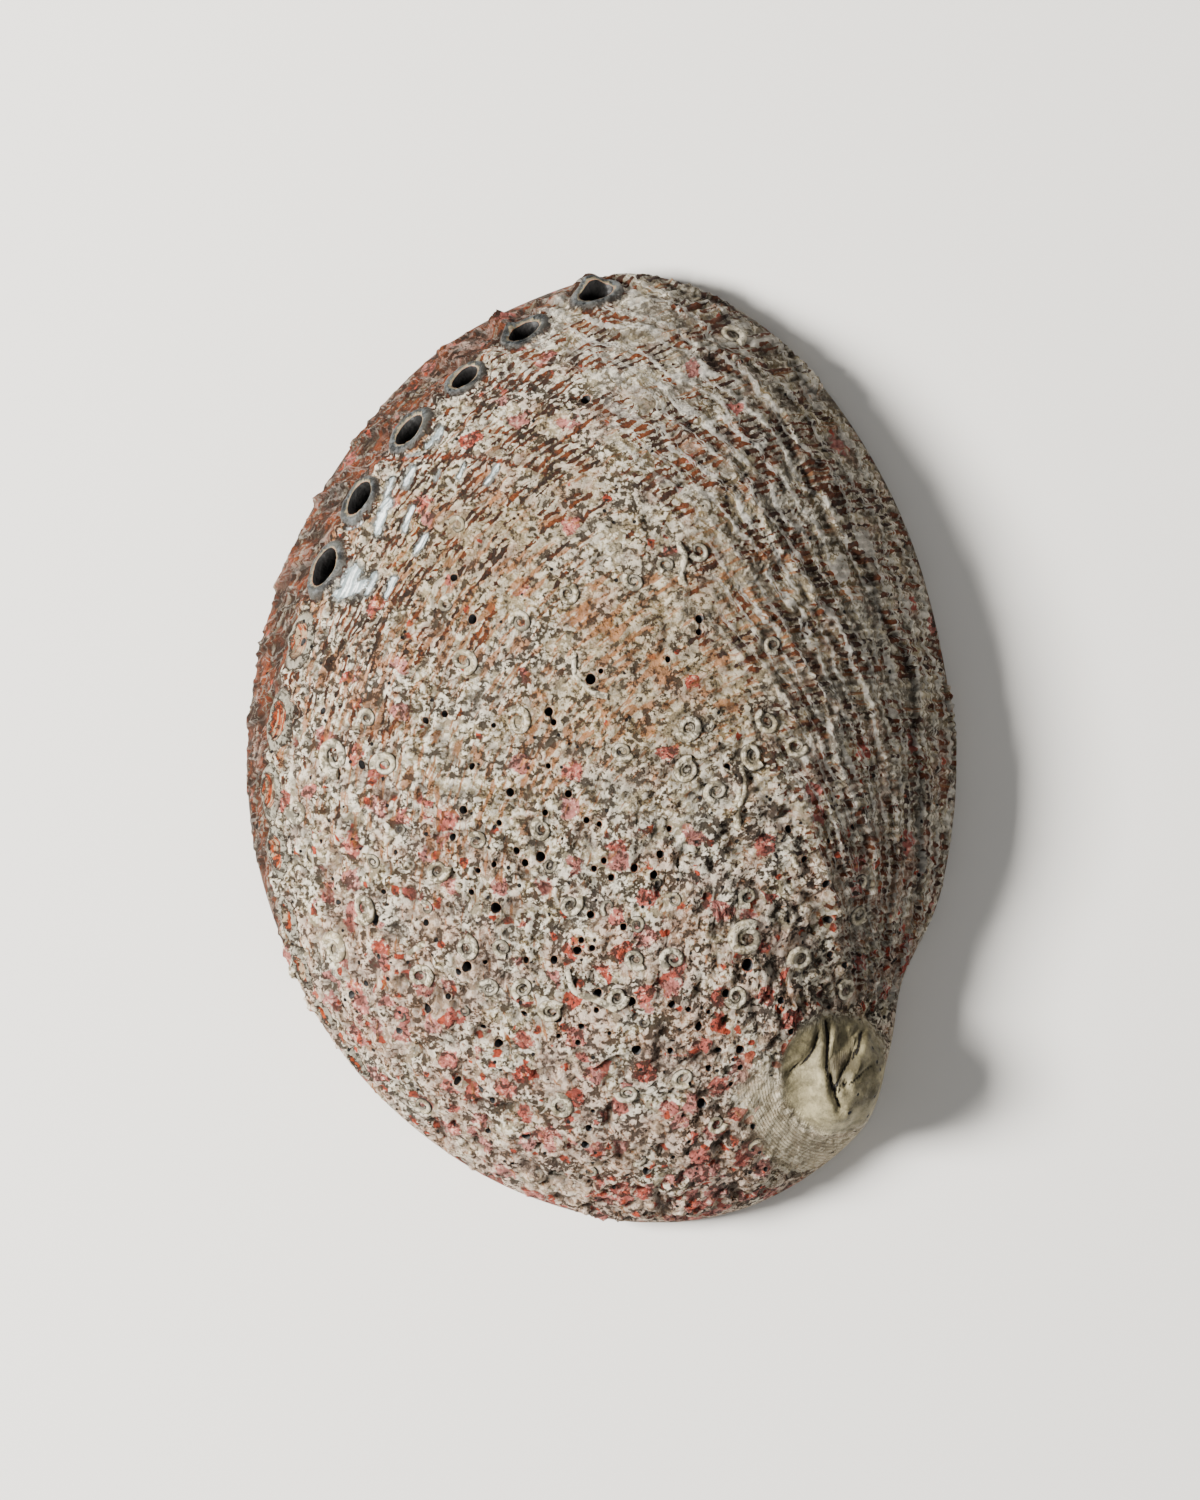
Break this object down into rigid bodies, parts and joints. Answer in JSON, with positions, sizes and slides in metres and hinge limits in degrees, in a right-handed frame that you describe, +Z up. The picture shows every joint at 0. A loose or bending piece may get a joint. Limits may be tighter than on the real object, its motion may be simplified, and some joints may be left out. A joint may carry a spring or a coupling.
{
  "type": "abalone shell",
  "caption": "Weathered ear-shaped sea snail shell: a low ribbed bowl with a row of breathing holes, worm tubes and a worn spire.",
  "frame": {"origin": "on the surface that the shell lies on, below the middle of its outline", "axes": "+Z up, out of the back; +Y forwards, away from the spire, along the length; +X right, towards the outer lip, seen from above"},
  "size_m": [0.0711, 0.0951, 0.0253],
  "materials": {
    "shell": "chalky, worn, with pink and orange crust",
    "nacre": "smooth mother-of-pearl",
    "worm_tube": "matt, chalky white"
  },
  "bodies": {
    "root": {"shell": "shell"}
  },
  "joints": []
}
